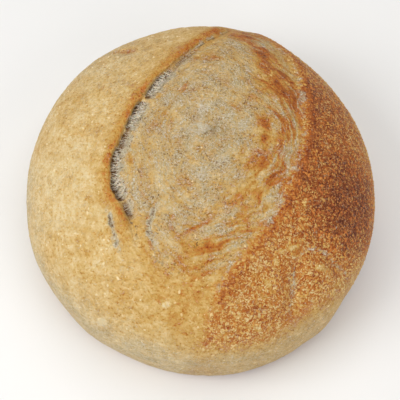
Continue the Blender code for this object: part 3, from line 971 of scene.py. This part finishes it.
class LOAF_OT_crust(bpy.types.Operator):
    """Wrap the fine crust over the loaf and finish it"""

    bl_idname = "loaf.crust"
    bl_label = "Crust"

    def execute(self, context):
        bm = bmesh.new()
        bmesh.ops.create_grid(bm, x_segments=COLUMNS, y_segments=ROWS, size=1.0)
        flat = np.array([vert.co for vert in bm.verts], float)
        crust = Crust(flat, context.scene.loaf_sizes)
        for vert, point in zip(bm.verts, fitted(crust.points)):
            vert.co = point
        rim = [edge for edge in bm.edges if edge.is_boundary]
        bmesh.ops.holes_fill(bm, edges=rim, sides=0)
        bmesh.ops.recalc_face_normals(bm, faces=bm.faces)
        mesh = bpy.data.meshes.new("crust")
        bm.to_mesh(mesh)
        bm.free()
        mesh.shade_smooth()
        mesh.set_sharp_from_angle(angle=math.radians(75))
        add_marks(mesh, crust.marks())
        piece = new_piece("crust", mesh, baked_crust(context.scene.loaf_colours))
        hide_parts("loaf")
        BuiltCrust.made = (crust, mesh)
        return {"FINISHED"}


class LOAF_OT_blisters(bpy.types.Operator):
    """Raise small blisters on the well baked skin"""

    bl_idname = "loaf.blisters"
    bl_label = "Blisters"

    def execute(self, context):
        _, mesh = BuiltCrust.made
        sizes = context.scene.loaf_sizes
        material = blister_skin(context.scene.loaf_colours)
        marked = np.zeros(len(mesh.vertices), np.float32)
        mesh.attributes["blistered"].data.foreach_get("value", marked)
        area = sum(face.area for face in mesh.polygons[:-1])
        density = sizes.blister_count / (area * float(marked.mean()))
        blisters = grown_mesh("blisters", mesh, blister_tree(), {
            "Density": density, "Size": sizes.blister_size, "Material": material,
        })
        blisters.shade_smooth()
        new_piece("blisters", blisters, material)
        return {"FINISHED"}


class LOAF_OT_strands(bpy.types.Operator):
    """Stretch torn strands of crumb across the open score"""

    bl_idname = "loaf.strands"
    bl_label = "Torn strands"

    def execute(self, context):
        crust, _ = BuiltCrust.made
        sizes = context.scene.loaf_sizes
        material = torn_crumb(context.scene.loaf_colours)
        strands = grown_mesh("torn_strands", strand_guide(crust), strand_tree(), {
            "Spacing": sizes.strand_spacing, "Length": sizes.strand_length, "Radius": sizes.strand_radius,
            "Material": material,
        })
        strands.shade_smooth()
        new_piece("torn_strands", strands, material)
        return {"FINISHED"}


# Stage: camera and lamps, in metres, degrees and watts
CAMERA_ELEVATION = 66.0
CAMERA_DISTANCE = 0.6
CAMERA_AIM = (0.0, -0.009, 0.045)
CAMERA_LENS = 81.3
LAMPS = {
    "window": {"at": (-0.95, -0.35, 1.05), "size": 0.8, "power": 10.0},
    "ceiling": {"at": (0.1, 0.2, 1.5), "size": 1.4, "power": 10.0},
    "fill": {"at": (0.9, -0.9, 0.8), "size": 1.0, "power": 5.0},
}
WORLD_STRENGTH = 0.35
FLOOR_SIZE = 20.0
FLOOR_GAP = 0.0002
FLOOR_COLOUR = "#F1F0EE"


def painted_board():
    """Pale painted studio board: even, matt and nearly white."""
    material, node, shader = new_material("painted_studio_board")
    place = node("ShaderNodeTexCoord", result="Object")
    soft = node("ShaderNodeTexNoise", result="Fac", named={"Vector": place, "Scale": 9.0, "Detail": 2.0})
    tone = node("ShaderNodeMix", result="Result", data_type="RGBA", named={
        "Factor": soft, "A": opaque(linear(FLOOR_COLOUR)), "B": opaque(linear("#EDECEA")),
    })
    material.node_tree.links.new(tone, shader.inputs["Base Color"])
    shader.inputs["Roughness"].default_value = 0.9
    return material


class LOAF_OT_stage(bpy.types.Operator):
    """Set the floor, the soft lamps and the camera"""

    bl_idname = "loaf.stage"
    bl_label = "Stage"

    def execute(self, context):
        scene = context.scene
        scene.view_settings.view_transform = "Standard"
        bm = bmesh.new()
        bmesh.ops.create_grid(bm, x_segments=1, y_segments=1, size=FLOOR_SIZE / 2)
        mesh = bpy.data.meshes.new("floor")
        bm.to_mesh(mesh)
        bm.free()
        mesh.transform(Matrix.Translation((0.0, 0.0, LOW.z - FLOOR_GAP)))
        mesh.materials.append(painted_board())
        floor = bpy.data.objects.new("floor", mesh)
        scene.collection.objects.link(floor)
        self.hang_lamps(scene)
        self.set_camera(scene)
        return {"FINISHED"}

    def hang_lamps(self, scene):
        for name, lamp in LAMPS.items():
            light = bpy.data.lights.new(name, "AREA")
            light.size = lamp["size"]
            light.energy = lamp["power"]
            holder = bpy.data.objects.new(name, light)
            holder.location = lamp["at"]
            holder.rotation_euler = (-Vector(lamp["at"])).to_track_quat("-Z", "Y").to_euler()
            scene.collection.objects.link(holder)
        world = bpy.data.worlds.new("studio")
        world.use_nodes = True
        background = world.node_tree.nodes["Background"]
        background.inputs["Color"].default_value = (1.0, 1.0, 1.0, 1.0)
        background.inputs["Strength"].default_value = WORLD_STRENGTH
        scene.world = world

    def set_camera(self, scene):
        lift = math.radians(CAMERA_ELEVATION)
        stand = Vector((0.0, -math.cos(lift), math.sin(lift))) * CAMERA_DISTANCE + Vector((0.0, 0.0, 0.045))
        lens = bpy.data.cameras.new("camera")
        lens.lens = CAMERA_LENS
        lens.sensor_width = 36.0
        holder = bpy.data.objects.new("camera", lens)
        holder.location = stand
        holder.rotation_euler = (Vector(CAMERA_AIM) - stand).to_track_quat("-Z", "Y").to_euler()
        scene.collection.objects.link(holder)
        scene.camera = holder


class LOAF_PT_panel(bpy.types.Panel):
    """Lists the loaf's sizes, colours and pieces in the sidebar"""

    bl_idname = "LOAF_PT_panel"
    bl_label = "Sourdough loaf"
    bl_space_type = "VIEW_3D"
    bl_region_type = "UI"
    bl_category = "Loaf"

    def draw(self, context):
        for group in (context.scene.loaf_sizes, context.scene.loaf_colours):
            box = self.layout.box()
            for name in group.__annotations__:
                box.prop(group, name)
        for operator in OPERATORS:
            self.layout.operator(operator.bl_idname)


OPERATORS = (LOAF_OT_crust, LOAF_OT_blisters, LOAF_OT_strands, LOAF_OT_stage)
CLASSES = (LoafSizes, LoafColours, *OPERATORS, LOAF_PT_panel)


def register():
    for kind in CLASSES:
        bpy.utils.register_class(kind)
    bpy.types.Scene.loaf_sizes = PointerProperty(type=LoafSizes)
    bpy.types.Scene.loaf_colours = PointerProperty(type=LoafColours)


def unregister():
    del bpy.types.Scene.loaf_colours
    del bpy.types.Scene.loaf_sizes
    for kind in reversed(CLASSES):
        bpy.utils.unregister_class(kind)


def main():
    register()
    bpy.ops.loaf.crust()
    bpy.ops.loaf.blisters()
    bpy.ops.loaf.strands()
    bpy.ops.loaf.stage()


if __name__ == "__main__":
    main()
